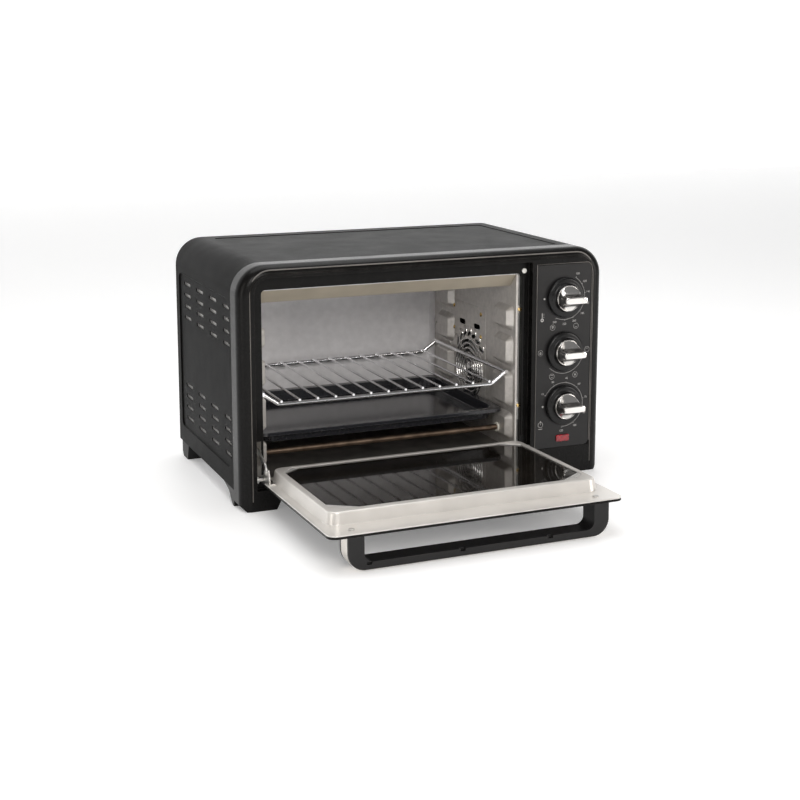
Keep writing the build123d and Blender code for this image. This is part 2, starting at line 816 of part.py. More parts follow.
with BuildPart() as door_bumper:
    with BuildSketch(facing(recess_depth)):
        with Locations((door_center + opening_width / 2 + 4, opening_top + 3)):
            Circle(3.2)
    extrude(amount=2)
    fillet(door_bumper.faces().sort_by(Axis.Y)[0].edges(), 1.2)
finish(door_bumper.part, "door_bumper")

# ---- door: outer panel ----
half = door_width / 2
raised_half = raised_width / 2


def door_outline(radius):
    """Outline of the door with its lower corners left off around the hinges."""
    with BuildSketch(mode=Mode.PRIVATE) as outline:
        patch(-half, half, -door_length, -notch_length)
        fillet(outline.vertices().group_by(Axis.Y)[0], radius)
        patch(-half + corner_notch, half - corner_notch, -notch_length, 4)
    return outline.sketch


with BuildPart() as door_outer_panel:
    with BuildSketch(on_door(-door_skin)):
        add(door_outline(door_corner))
        add(rounded(-raised_half + 20, raised_half - 20, -raised_end + 14, -30, 10), mode=Mode.SUBTRACT)
    extrude(amount=door_skin - liner_sheet)
    fillet(door_outer_panel.faces().sort_by(Axis.Z)[0].outer_wire().edges(), 1)
finish(door_outer_panel.part, "door_outer_panel")

# ---- door: pressed inner frame, a flange with a raised box and a window in its top ----
with BuildPart() as door_inner_frame:
    with BuildSketch(on_door(-liner_sheet)):
        add(door_outline(door_corner))
    extrude(amount=liner_sheet)
    with BuildSketch(on_door(0)):
        add(rounded(-raised_half, raised_half, -raised_end, -2, 14))
    extrude(amount=raised_height, taper=raised_draft)
    fillet(door_inner_frame.faces().sort_by(Axis.Z)[-1].edges(), 2)
    with BuildSketch(on_door(-liner_sheet)):
        add(rounded(-raised_half + 1.5, raised_half - 1.5, -raised_end + 1.5, -3.5, 12.5))
    extrude(amount=raised_height, taper=raised_draft, mode=Mode.SUBTRACT)
    with BuildSketch(on_door(raised_height - liner_sheet)) as inner_window:
        patch(
            -raised_half + window_border,
            raised_half - window_border,
            -raised_end + window_border + 3,
            -2 - window_border,
        )
        chamfer(inner_window.vertices(), 14)
    extrude(amount=liner_sheet, mode=Mode.SUBTRACT)
finish(door_inner_frame.part, "door_inner_frame")

# ---- door: two panes and the clips that hold the inner one ----
pane = 3
with BuildPart() as door_inner_glass:
    with BuildSketch(on_door(raised_height - liner_sheet - pane)):
        add(rounded(-raised_half + 7, raised_half - 7, -raised_end + 8, -8, 11))
    extrude(amount=pane)
finish(door_inner_glass.part, "door_inner_glass")

with BuildPart() as door_outer_glass:
    with BuildSketch(on_door(-liner_sheet)):
        patch(-raised_half + 10, raised_half - 10, -raised_end + 8, -20)
    extrude(amount=pane)
finish(door_outer_glass.part, "door_outer_glass")

with BuildPart() as glass_clips:
    with BuildSketch(on_door(raised_height - liner_sheet - pane)):
        with Locations((0, -raised_end / 2)):
            with GridLocations(raised_width - 60, raised_end - 22, 2, 2):
                Rectangle(26, 8)
    extrude(amount=-1)
finish(glass_clips.part, "glass_clips")

# ---- door: hinge ears, the left one with the pivot pin of the link arm ----
with BuildPart() as door_ears:
    for side in (-1, 1):
        face_x = side * ear_offset
        ear_plane = door_side(face_x)
        with BuildSketch(ear_plane):
            with BuildLine():
                Polyline(
                    (-3, -4.4),
                    (8, -4.4),
                    (notch_length - 0.5, 0),
                    (notch_length + 11, 0),
                    (notch_length + 11, 3),
                    (4, 4.6),
                    close=True,
                )
            make_face()
            if side < 0:
                with BuildLine():
                    Polyline(
                        (2, 4.6),
                        (notch_length + 11, 0),
                        (notch_length + 11, 6),
                        (pivot_s + 4, pivot_h + 3),
                        (pivot_s - 3.5, pivot_h + 3),
                        close=True,
                    )
                make_face()
            Circle(5.3)
            Circle(pin_radius + running_gap, mode=Mode.SUBTRACT)
        extrude(amount=side * ear_thickness)
        if side < 0:
            with BuildSketch(ear_plane):
                with Locations((pivot_s, pivot_h)):
                    Circle(arm_pin_radius)
            extrude(amount=arm_thickness + 1.2)
            with BuildSketch(ear_plane.offset(arm_thickness + 0.6)):
                with Locations((pivot_s, pivot_h)):
                    Circle(arm_pin_radius + 1)
            extrude(amount=0.8)
        with BuildSketch(on_door(0)):
            foot_x = sorted((side * (ear_offset - ear_thickness), side * (ear_offset - ear_thickness - 6)))
            patch(foot_x[0], foot_x[1], -notch_length - 11, -notch_length - 1)
        extrude(amount=1.2)
finish(door_ears.part, "door_ears")

# ---- link arm: curved strap from the left ear through the slot into the frame ----
hook_s = pivot_s - 44
hook_h = pivot_h + 20
with BuildPart() as left_link_arm:
    with BuildSketch(door_side(-ear_offset - free_gap)):
        with BuildLine() as arm_line:
            Spline(
                (pivot_s, pivot_h),
                (pivot_s - 3, pivot_h + 6.5),
                (pivot_s - 12, pivot_h + 11),
                (pivot_s - 27, pivot_h + 17.5),
                (hook_s, hook_h),
            )
        trace(arm_line.line, line_width=5)
        with Locations((pivot_s, pivot_h)):
            Circle(arm_pin_radius + 1.8)
            Circle(arm_pin_radius + running_gap, mode=Mode.SUBTRACT)
        with Locations((hook_s, hook_h)):
            Circle(3.6)
            Circle(1.3, mode=Mode.SUBTRACT)
    extrude(amount=arm_thickness)
finish(left_link_arm.part, "left_link_arm")

# ---- door spring: hangs between the arm's inner end and an anchor on the cavity wall ----
spring_radius = 3.2
spring_wire = 0.9
spring_length = 62
hook = door_side(0).from_local_coords((hook_s, hook_h, 0))
spring_low = hook.Z + 6
spring_high = spring_low + spring_length
spring_x = door_center - ear_offset - free_gap - arm_thickness / 2
with BuildPart() as door_spring:
    with BuildSketch(Plane((spring_x, hook.Y, spring_low))):
        Circle(spring_radius)
        Circle(spring_radius - spring_wire, mode=Mode.SUBTRACT)
    extrude(amount=spring_length)
finish(door_spring.part, "door_spring")

with BuildPart() as spring_anchor:
    with BuildSketch(level(spring_high)):
        patch(spring_x - 3, cavity_left - liner, hook.Y - 5, hook.Y + 5)
    extrude(amount=1.5)
finish(spring_anchor.part, "spring_anchor")

# ---- door handle: U-shaped bar standing off the outer face, with a bright band around it ----
handle_half = handle_span / 2
handle_s = door_length - handle_depth
band_start = handle_s + 4
band_depth = handle_depth - 7


def handle_outline(inset):
    """Outer outline of the handle, drawn inwards by inset on its sides and front."""
    with BuildSketch(mode=Mode.PRIVATE) as outline:
        patch(
            -handle_half + inset,
            handle_half - inset,
            -door_skin - handle_reach + inset,
            -door_skin,
        )
        fillet(outline.vertices().group_by(Axis.Y)[0], 19 - inset)
    return outline.sketch


with BuildPart() as door_handle:
    with BuildSketch(door_section(handle_s)) as grip_shape:
        add(handle_outline(0))
        with BuildSketch(mode=Mode.PRIVATE) as finger_space:
            patch(
                -handle_half + handle_leg,
                handle_half - handle_leg,
                -door_skin - handle_reach + handle_bar,
                -door_skin,
            )
            fillet(finger_space.vertices().group_by(Axis.Y)[0], 9)
        add(finger_space.sketch, mode=Mode.SUBTRACT)
    extrude(amount=handle_depth)
    with BuildSketch(door_section(band_start)):
        add(handle_outline(0))
        add(handle_outline(trim_thickness), mode=Mode.SUBTRACT)
    extrude(amount=band_depth, mode=Mode.SUBTRACT)
    # drain notches on the inner side of the bar
    with BuildSketch(door_section(door_length - 4)):
        for x in notch_places:
            patch(x - 3, x + 3, -door_skin - handle_reach + handle_bar - 3, -door_skin - handle_reach + handle_bar)
    extrude(amount=4, mode=Mode.SUBTRACT)
finish(door_handle.part, "door_handle")

with BuildPart() as handle_band:
    with BuildSketch(door_section(band_start)):
        add(handle_outline(0))
        add(handle_outline(trim_thickness), mode=Mode.SUBTRACT)
    extrude(amount=band_depth)
finish(handle_band.part, "handle_band")

with BuildPart() as handle_screws:
    with BuildSketch(on_door(0)):
        with Locations((0, -door_length + 14)):
            with GridLocations(handle_span - handle_leg, 1, 2, 1):
                Circle(3.4)
    extrude(amount=1.6)
    fillet(handle_screws.faces().sort_by(Axis.Z)[-2:].edges(), 0.8)
finish(handle_screws.part, "handle_screws")

# ---- wire rack ----
guide_mid = guide_heights[1]
rod_x = cavity_width / 2 - pad_height + wire / 2 + free_gap
rod_to_wall = cavity_width / 2 - rod_x
pad_slope = tan(radians(pad_draft))
rack_z = guide_mid - guide_gap / 2 - rod_to_wall * pad_slope + (wire / 2 + free_gap) / cos(radians(pad_draft))
bend = 20
with BuildPart() as wire_rack:
    for y in (rack_front, rack_back):
        with BuildLine(facing(y)) as rail_line:
            FilletPolyline(
                (cavity_center - rod_x, rack_z),
                (cavity_center - rod_x + bend, rack_z - rack_drop),
                (cavity_center + rod_x - bend, rack_z - rack_drop),
                (cavity_center + rod_x, rack_z),
                radius=8,
            )
        rail_start = Plane(rail_line.line @ 0, z_dir=rail_line.line % 0)
        with BuildSketch(rail_start):
            Circle(wire / 2)
        sweep(path=rail_line.line)
    for side in (-1, 1):
        with BuildSketch(facing(rack_front - wire / 2)):
            with Locations((cavity_center + side * rod_x, rack_z)):
                Circle(wire / 2)
        extrude(amount=-(rack_back - rack_front + wire))
    with BuildSketch(facing(rack_front - cross_wire / 2)):
        with Locations((cavity_center, rack_z - rack_drop + wire / 2 + cross_wire / 2 - 0.6)):
            with GridLocations(2 * (rod_x - bend - 3) / (cross_wires - 1), 1, cross_wires, 1):
                Circle(cross_wire / 2)
    extrude(amount=-(rack_back - rack_front + cross_wire))
finish(wire_rack.part, "wire_rack")

# ---- baking tray ----
rim_clearance = 2.5
rim_half = cavity_width / 2 - rim_clearance
tray_z = guide_heights[0] - guide_gap / 2 - rim_clearance * pad_slope + free_gap / cos(radians(pad_draft))
pan_half = cavity_width / 2 - pad_height - 2.5
tray_y0 = front_y + tray_front
tray_y1 = front_y + tray_back
rim_top = tray_z + tray_lip
rim_over = rim_half - pan_half
with BuildPart() as baking_tray:
    with BuildSketch(level(rim_top - tray_sheet)):
        add(rounded(cavity_center - rim_half, cavity_center + rim_half, tray_y0, tray_y1, 12))
    extrude(amount=tray_sheet)
    with BuildSketch(level(tray_z)):
        add(rounded(cavity_center - rim_half, cavity_center + rim_half, tray_y0, tray_y1, 12))
        add(
            rounded(
                cavity_center - rim_half + tray_sheet,
                cavity_center + rim_half - tray_sheet,
                tray_y0 + tray_sheet,
                tray_y1 - tray_sheet,
                11,
            ),
            mode=Mode.SUBTRACT,
        )
    extrude(amount=tray_lip)
    with BuildSketch(level(rim_top)):
        add(
            rounded(
                cavity_center - pan_half,
                cavity_center + pan_half,
                tray_y0 + rim_over,
                tray_y1 - rim_over,
                18,
            )
        )
    extrude(amount=-tray_depth, taper=12)
    with BuildSketch(level(rim_top)):
        add(
            rounded(
                cavity_center - pan_half + tray_sheet,
                cavity_center + pan_half - tray_sheet,
                tray_y0 + rim_over + tray_sheet,
                tray_y1 - rim_over - tray_sheet,
                17,
            )
        )
    extrude(amount=-(tray_depth - tray_sheet), taper=12, mode=Mode.SUBTRACT)
finish(baking_tray.part, "baking_tray")
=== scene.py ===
import math

import bpy
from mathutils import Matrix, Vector


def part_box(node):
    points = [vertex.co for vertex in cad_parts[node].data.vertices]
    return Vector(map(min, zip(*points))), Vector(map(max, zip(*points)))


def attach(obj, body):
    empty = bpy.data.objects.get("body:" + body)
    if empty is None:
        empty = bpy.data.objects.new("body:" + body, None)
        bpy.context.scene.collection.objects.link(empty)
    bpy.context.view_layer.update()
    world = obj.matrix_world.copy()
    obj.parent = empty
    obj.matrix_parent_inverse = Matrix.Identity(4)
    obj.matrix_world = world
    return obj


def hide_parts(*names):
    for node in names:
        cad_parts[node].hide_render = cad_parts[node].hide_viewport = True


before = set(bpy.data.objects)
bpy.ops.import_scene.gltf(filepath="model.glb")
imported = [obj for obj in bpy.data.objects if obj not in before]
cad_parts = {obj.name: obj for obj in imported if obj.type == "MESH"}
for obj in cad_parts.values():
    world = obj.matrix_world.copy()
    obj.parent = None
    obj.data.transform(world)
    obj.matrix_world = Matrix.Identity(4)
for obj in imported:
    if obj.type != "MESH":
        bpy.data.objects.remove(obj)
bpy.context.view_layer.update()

# ---- table, lights and viewpoint ----
# A pale tabletop that runs back to a pale wall, four large soft lamps, and a camera standing to
# the left of the oven, above its top, as one looks at it across a kitchen.
table_size = 14.0
tabletop_glow = 0.2
wall_distance = 4.0
wall_height = 8.0
wall_glow = 0.85
table_mesh = bpy.data.meshes.new("tabletop")
table_mesh.from_pydata(
    [(x * table_size, y * table_size, 0.0) for x, y in ((-1, -1), (1, -1), (1, 1), (-1, 1))],
    [],
    [(0, 1, 2, 3)],
)
tabletop = bpy.data.objects.new("tabletop", table_mesh)
bpy.context.collection.objects.link(tabletop)
pale_top = bpy.data.materials.new("pale_tabletop")
pale_top.use_nodes = True
pale_shader = pale_top.node_tree.nodes["Principled BSDF"]
pale_shader.inputs["Base Color"].default_value = (0.92, 0.92, 0.92, 1)
pale_shader.inputs["Emission Color"].default_value = (1, 1, 1, 1)
pale_shader.inputs["Emission Strength"].default_value = tabletop_glow
pale_shader.inputs["Roughness"].default_value = 0.55
table_mesh.materials.append(pale_top)
wall_mesh = bpy.data.meshes.new("pale_wall")
wall_mesh.from_pydata(
    [
        (-table_size, wall_distance, 0.0),
        (table_size, wall_distance, 0.0),
        (table_size, wall_distance, wall_height),
        (-table_size, wall_distance, wall_height),
    ],
    [],
    [(0, 1, 2, 3)],
)
pale_wall = bpy.data.objects.new("pale_wall", wall_mesh)
bpy.context.collection.objects.link(pale_wall)
pale_paint = pale_top.copy()
pale_paint.name = "pale_paint"
wall_shader = pale_paint.node_tree.nodes["Principled BSDF"]
wall_shader.inputs["Emission Strength"].default_value = wall_glow
wall_mesh.materials.append(pale_paint)

studio = bpy.data.worlds.new("studio")
studio.use_nodes = True
studio.node_tree.nodes["Background"].inputs["Color"].default_value = (1.0, 1.0, 1.0, 1)
studio.node_tree.nodes["Background"].inputs["Strength"].default_value = 0.2
bpy.context.scene.world = studio


def soft_lamp(name, place, target, width, height, power, tint=(1, 1, 1)):
    """A rectangular lamp at a place, turned towards a target; metres and watts."""
    lamp = bpy.data.lights.new(name, "AREA")
    lamp.shape = "RECTANGLE"
    lamp.size = width
    lamp.size_y = height
    lamp.energy = power
    lamp.color = tint
    holder = bpy.data.objects.new(name, lamp)
    holder.location = place
    holder.rotation_euler = (Vector(target) - Vector(place)).to_track_quat("-Z", "Y").to_euler()
    bpy.context.collection.objects.link(holder)


soft_lamp("overhead_lamp", (-0.05, 0.15, 1.7), (0, 0, 0.1), 1.6, 1.0, 15)
soft_lamp("left_lamp", (-1.7, -0.9, 0.55), (-0.1, -0.05, 0.15), 0.35, 1.1, 4.5, (1.0, 0.95, 0.9))
soft_lamp("front_lamp", (-0.35, -1.9, 1.05), (0, -0.05, 0.12), 1.1, 0.7, 21, (1.0, 0.97, 0.94))
soft_lamp("right_lamp", (1.3, -1.1, 0.5), (0.1, -0.05, 0.15), 0.4, 0.9, 8, (1.0, 0.96, 0.92))
bpy.context.scene.view_settings.view_transform = "Standard"
bpy.context.scene.view_settings.look = "None"

front_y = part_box("front_frame")[0][1]       # the face of the front frame
viewer_left = 0.6894
viewer_distance = 1.5412
viewer_height = 0.5256
look_down = 9.76
look_right = 22.88
camera_data = bpy.data.cameras.new("viewer")
camera_data.sensor_width = 36
camera_data.lens = 64.65
camera_data.shift_y = -0.125
camera_data.clip_start = 0.05
camera_data.clip_end = 60
viewer = bpy.data.objects.new("viewer", camera_data)
viewer.location = (-viewer_left, front_y - viewer_distance, viewer_height)
viewer.rotation_euler = (math.radians(90 - look_down), 0, math.radians(-look_right))
bpy.context.collection.objects.link(viewer)
bpy.context.scene.camera = viewer


# ---- cabinet, back panel and their screws ----
# One steel sheet bent over the top and both sides, powder coated a fine-grained black; the back
# is a flat sheet in the same coat, held by six black-oxide screws.
MIX_FIRST, MIX_SECOND, MIX_COLOUR = 6, 7, 2     # colour sockets of a mix node, in and out
BRUSH_STRETCH = 0.012                           # grain along the brushing, as a share of across


def surface(
    name,
    colour,
    rough,
    metal=0.0,
    mottle=0.12,
    mottle_size=0.03,
    grain=0.08,
    grain_size=0.0008,
    brushed=None,
    edge_highlight=0.0,
    edge_highlight_colour=(0.5, 0.5, 0.5),
    soft_edge=0.0005,
    rough_swing=0.06,
    specular=0.5,
):
    """A finish with cloudy colour, grain in its surface, changing gloss and painted highlights along
    its edges.
    """
    made = bpy.data.materials.new(name)
    made.use_nodes = True
    tree = made.node_tree
    shader = tree.nodes["Principled BSDF"]
    shader.inputs["Metallic"].default_value = metal
    shader.inputs["Specular IOR Level"].default_value = specular
    place = tree.nodes.new("ShaderNodeTexCoord")
    cloud = tree.nodes.new("ShaderNodeTexNoise")
    cloud.inputs["Scale"].default_value = 1 / mottle_size
    cloud.inputs["Detail"].default_value = 5
    tree.links.new(place.outputs["Object"], cloud.inputs["Vector"])
    spread = tree.nodes.new("ShaderNodeMapRange")
    spread.inputs["From Min"].default_value = 0.3
    spread.inputs["From Max"].default_value = 0.7
    tree.links.new(cloud.outputs["Fac"], spread.inputs["Value"])
    tones = tree.nodes.new("ShaderNodeMix")
    tones.data_type = "RGBA"
    tones.inputs[MIX_FIRST].default_value = tuple(c * (1 - mottle) for c in colour) + (1,)
    tones.inputs[MIX_SECOND].default_value = tuple(min(1, c * (1 + mottle)) for c in colour) + (1,)
    tree.links.new(spread.outputs["Result"], tones.inputs[0])
    colour_out = tones.outputs[MIX_COLOUR]

    fine = tree.nodes.new("ShaderNodeTexNoise")
    fine.inputs["Detail"].default_value = 3
    fine.inputs["Scale"].default_value = 1 / grain_size
    if brushed is None:
        tree.links.new(place.outputs["Object"], fine.inputs["Vector"])
    else:
        stretch = tree.nodes.new("ShaderNodeMapping")
        stretch.inputs["Scale"].default_value = tuple(
            BRUSH_STRETCH if axis == brushed else 1.0 for axis in "XYZ"
        )
        tree.links.new(place.outputs["Object"], stretch.inputs["Vector"])
        tree.links.new(stretch.outputs["Vector"], fine.inputs["Vector"])
    gloss = tree.nodes.new("ShaderNodeMapRange")
    gloss.inputs["From Min"].default_value = 0.25
    gloss.inputs["From Max"].default_value = 0.75
    gloss.inputs["To Min"].default_value = max(0.02, rough - rough_swing)
    gloss.inputs["To Max"].default_value = min(1, rough + rough_swing)
    patchy = tree.nodes.new("ShaderNodeMath")
    patchy.operation = "ADD"
    half = tree.nodes.new("ShaderNodeMath")
    half.operation = "MULTIPLY"
    half.inputs[1].default_value = 0.5
    tree.links.new(cloud.outputs["Fac"], patchy.inputs[0])
    tree.links.new(fine.outputs["Fac"], patchy.inputs[1])
    tree.links.new(patchy.outputs["Value"], half.inputs[0])
    tree.links.new(half.outputs["Value"], gloss.inputs["Value"])
    tree.links.new(gloss.outputs["Result"], shader.inputs["Roughness"])

    relief = tree.nodes.new("ShaderNodeBump")
    relief.inputs["Strength"].default_value = grain
    relief.inputs["Distance"].default_value = 0.0004
    tree.links.new(fine.outputs["Fac"], relief.inputs["Height"])
    tree.links.new(relief.outputs["Normal"], shader.inputs["Normal"])
    if soft_edge:
        rounding = tree.nodes.new("ShaderNodeBevel")
        rounding.samples = 4
        rounding.inputs["Radius"].default_value = soft_edge
        tree.links.new(rounding.outputs["Normal"], relief.inputs["Normal"])
        # Painted highlight: where the bevel normal turns away from the true normal, at edges, the
        # colour is mixed towards a paler one, broken up by the cloudy pattern.
        if edge_highlight:
            flat = tree.nodes.new("ShaderNodeNewGeometry")
            turn = tree.nodes.new("ShaderNodeVectorMath")
            turn.operation = "DOT_PRODUCT"
            tree.links.new(rounding.outputs["Normal"], turn.inputs[0])
            tree.links.new(flat.outputs["Normal"], turn.inputs[1])
            edge = tree.nodes.new("ShaderNodeMapRange")
            edge.inputs["From Min"].default_value = 0.995
            edge.inputs["From Max"].default_value = 0.86
            edge.inputs["To Max"].default_value = edge_highlight
            tree.links.new(turn.outputs["Value"], edge.inputs["Value"])
            broken = tree.nodes.new("ShaderNodeMath")
            broken.operation = "MULTIPLY"
            tree.links.new(edge.outputs["Result"], broken.inputs[0])
            tree.links.new(spread.outputs["Result"], broken.inputs[1])
            edge_lit = tree.nodes.new("ShaderNodeMix")
            edge_lit.data_type = "RGBA"
            edge_lit.inputs[MIX_SECOND].default_value = edge_highlight_colour + (1,)
            tree.links.new(broken.outputs["Value"], edge_lit.inputs[0])
            tree.links.new(colour_out, edge_lit.inputs[MIX_FIRST])
            colour_out = edge_lit.outputs[MIX_COLOUR]
    tree.links.new(colour_out, shader.inputs["Base Color"])
    return made


def coat(material, *names):
    """Puts a finish on CAD nodes."""
    for name in names:
        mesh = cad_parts[name].data
        if mesh.materials:
            for place in range(len(mesh.materials)):
                mesh.materials[place] = material
        else:
            mesh.materials.append(material)


# The coat's edges carry a painted highlight, a warm dark grey much paler than the black.
cabinet_black = surface(
    "cabinet_black", (0.003, 0.0029, 0.0028), 0.36, grain=0.2, grain_size=0.0011, edge_highlight=0.25,
    edge_highlight_colour=(0.1, 0.09, 0.08), specular=0.015,
)
coat(cabinet_black, "outer_cabinet", "back_panel")
# The screws' edges carry a painted highlight in mid grey.
black_oxide = surface("black_oxide", (0.02, 0.02, 0.022), 0.35, metal=0.6, edge_highlight=0.4)
coat(black_oxide, "back_screws")

# ---- base plate, heat shields and other plain sheet inside ----
# Zinc-coated steel as it comes off the roll: cold grey with a faint spangle, seen through the
# vent slots and from underneath.
zinc_sheet = surface(
    "zinc_sheet", (0.45, 0.45, 0.46), 0.42, metal=0.85, mottle=0.25, mottle_size=0.012, brushed="X"
)
coat(zinc_sheet, "base_plate", "control_bracket", "fan_pan", "spring_anchor")
# The heat shields are pale and glow faintly; the glow is painted light, since they are no lamp.
shield_zinc = surface("shield_zinc", (0.85, 0.84, 0.82), 0.5, mottle=0.12, mottle_size=0.009)
shield_shader = shield_zinc.node_tree.nodes["Principled BSDF"]
shield_shader.inputs["Emission Color"].default_value = (0.75, 0.73, 0.7, 1)
shield_shader.inputs["Emission Strength"].default_value = 0.16
coat(shield_zinc, "heat_shields")

# ---- front frame and rear feet ----
# One heat-resistant plastic moulding, satin black with a fine spark-eroded grain, with the door
# recess and the front feet; the rear feet are separate mouldings of the same plastic.
# The frame's edges carry a painted highlight, a warm dark grey paler than the black.
frame_black = surface(
    "frame_black", (0.005, 0.0047, 0.0045), 0.27, grain=0.12, grain_size=0.0007, edge_highlight=0.45,
    edge_highlight_colour=(0.09, 0.082, 0.075), soft_edge=0.0012, specular=0.14,
)
coat(frame_black, "front_frame")
foot_black = surface("foot_black", (0.005, 0.005, 0.005), 0.5, grain=0.2, specular=0.25)
coat(foot_black, "rear_feet")
MM = 0.001


def at(x, depth, z):
    """A point given in millimetres, depth behind the front face."""
    return Vector((x * MM, front_y + depth * MM, z * MM))


def piece(name, points, faces, material, body, slot, smooth=40):
    """A mesh piece with a finish that moves with a body."""
    mesh = bpy.data.meshes.new(name)
    mesh.from_pydata([tuple(p) for p in points], [], faces)
    mesh.materials.append(material)
    mesh.shade_smooth()
    mesh.set_sharp_from_angle(angle=math.radians(smooth))
    made = bpy.data.objects.new(name, mesh)
    bpy.context.collection.objects.link(made)
    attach(made, body)
    return made


def skin(rings, closed=True):
    """Faces between rings of equal length; when closed, the first and last ring get a flat face."""
    count = len(rings[0])
    points = [p for ring in rings for p in ring]
    faces = []
    for row in range(len(rings) - 1):
        for k in range(count):
            a = row * count + k
            b = row * count + (k + 1) % count
            faces.append((a, b, b + count, a + count))
    if closed:
        last = (len(rings) - 1) * count
        faces.append(tuple(range(last, last + count)))
        faces.append(tuple(reversed(range(count))))
    return points, faces


# ---- line around the front face ----
# A narrow bead moulded just inside the rounded rim, coloured pale as a painted highlight; it reads as
# a pale line over the top and down both sides.
def rim_path(half_width, top, radius, bottom, steps=16):
    """Points along an arch open at the bottom, left foot to right foot."""
    path = [(-half_width, bottom)]
    for side, first in ((-1, 180), (1, 90)):
        for k in range(steps + 1):
            turn = math.radians(first - 90 * k / steps)
            path.append((
                side * (half_width - radius) + radius * math.cos(turn),
                top - radius + radius * math.sin(turn),
            ))
    path.append((half_width, bottom))
    return path


def bead(path, width, proud, depth, steps=6):
    """Half-round bead along a path on the front face, standing proud of a depth."""
    rings = []
    for k, (x, z) in enumerate(path):
        before = path[max(0, k - 1)]
        after = path[min(len(path) - 1, k + 1)]
        run = Vector((after[0] - before[0], after[1] - before[1])).normalized()
        side = Vector((run.y, -run.x))
        ring = []
        for step in range(steps + 1):
            turn = math.pi * step / steps
            off = side * math.cos(turn) * width / 2
            ring.append(at(x + off.x, depth - math.sin(turn) * proud, z + off.y))
        rings.append(ring)
    return skin(rings)


# The beads' pale grey is a painted highlight, far lighter than the black plastic they belong to.
rim_highlight_paint = surface("rim_highlight_paint", (0.13, 0.12, 0.11), 0.34, grain=0.1, mottle=0.3, mottle_size=0.05)
rim_half_width = 223.4
rim_top = 282.6
rim_radius = 24.6
rim_foot = 12
points, faces = bead(
    rim_path(rim_half_width, rim_top, rim_radius, rim_foot), width=1.6, proud=0.6, depth=0.9
)
piece("rim_bead", points, faces, rim_highlight_paint, "oven", "frame_plastic")
panel_left = 144.2
panel_right = 221.4
panel_top = 269.2
panel_radius = 7.4
left_foot = 33.8
right_foot = 40
panel_corner = []
for k in range(11):
    turn = math.radians(9 * k)
    panel_corner.append((
        panel_right - panel_radius + panel_radius * math.sin(turn),
        panel_top - panel_radius + panel_radius * math.cos(turn),
    ))
# The bead around the dial panel's seat carries the same painted highlight line.
points, faces = bead(
    [(panel_left, left_foot), (panel_left, panel_top), (panel_right - panel_radius, panel_top)]
    + panel_corner
    + [(panel_right, right_foot)],
    width=0.9, proud=0.35, depth=0.05,
)
piece("panel_edge_bead", points, faces, rim_highlight_paint, "oven", "frame_plastic")

# ---- dial panel ----
# A flush plastic plate with a dead-fine texture, paler and duller than the frame around it.  It
# lies in a shallow seat moulded in the frame.
panel_black = surface(
    "panel_black", (0.011, 0.0105, 0.0108), 0.38, grain=0.18, grain_size=0.0006, specular=0.3
)
coat(panel_black, "control_panel")

# ---- printing on the dial panel ----
# Pad-printed light grey ink: a thin ring around each dial, temperatures, minutes and function
# signs.  The ink lies a few hundredths proud of the plate.
ink = surface("ink", (0.42, 0.41, 0.4), 0.6, mottle=0.25, mottle_size=0.002, soft_edge=0)
ink_face = 0.25
print_points = []
print_faces = []


def add_print(points, faces):
    """Adds faces to the one mesh that holds all the ink."""
    start = len(print_points)
    print_points.extend(points)
    print_faces.extend(tuple(start + k for k in face) for face in faces)


def print_arc(x, z, radius, start, end, width=0.35):
    """Printed arc; angles in degrees clockwise from the top."""
    steps = max(8, int(abs(end - start) / 5))
    inner = []
    outer = []
    for k in range(steps + 1):
        turn = math.radians(start + (end - start) * k / steps)
        for ring, r in ((inner, radius - width / 2), (outer, radius + width / 2)):
            ring.append(at(x + r * math.sin(turn), ink_face, z + r * math.cos(turn)))
    count = steps + 1
    add_print(inner + outer, [(k, k + 1, count + k + 1, count + k) for k in range(steps)])


def print_line(x0, z0, x1, z1, width=0.35):
    """Printed straight line with square ends."""
    run = Vector((x1 - x0, z1 - z0)).normalized() * width / 2
    corners = [
        (x0 - run.y, z0 + run.x),
        (x1 - run.y, z1 + run.x),
        (x1 + run.y, z1 - run.x),
        (x0 + run.y, z0 - run.x),
    ]
    add_print([at(x, ink_face, z) for x, z in corners], [(0, 3, 2, 1)])


def print_dot(x, z, radius, steps=20):
    """Printed round spot."""
    turns = [2 * math.pi * k / steps for k in range(steps)]
    add_print(
        [at(x + radius * math.sin(turn), ink_face, z + radius * math.cos(turn)) for turn in turns],
        [tuple(range(steps))],
    )


def print_text(text, x, z, size):
    """Digits set in the built-in letters, centred on a point."""
    letters = bpy.data.curves.new("letters", "FONT")
    letters.body = text
    letters.size = size
    letters.align_x = "CENTER"
    letters.align_y = "CENTER"
    holder = bpy.data.objects.new("letters", letters)
    bpy.context.collection.objects.link(holder)
    bpy.context.view_layer.update()
    shape = bpy.data.meshes.new_from_object(holder)
    add_print(
        [at(x + v.co.x, ink_face, z + v.co.y) for v in shape.vertices],
        [tuple(face.vertices) for face in shape.polygons],
    )
    bpy.data.objects.remove(holder)
    bpy.data.curves.remove(letters)
    bpy.data.meshes.remove(shape)


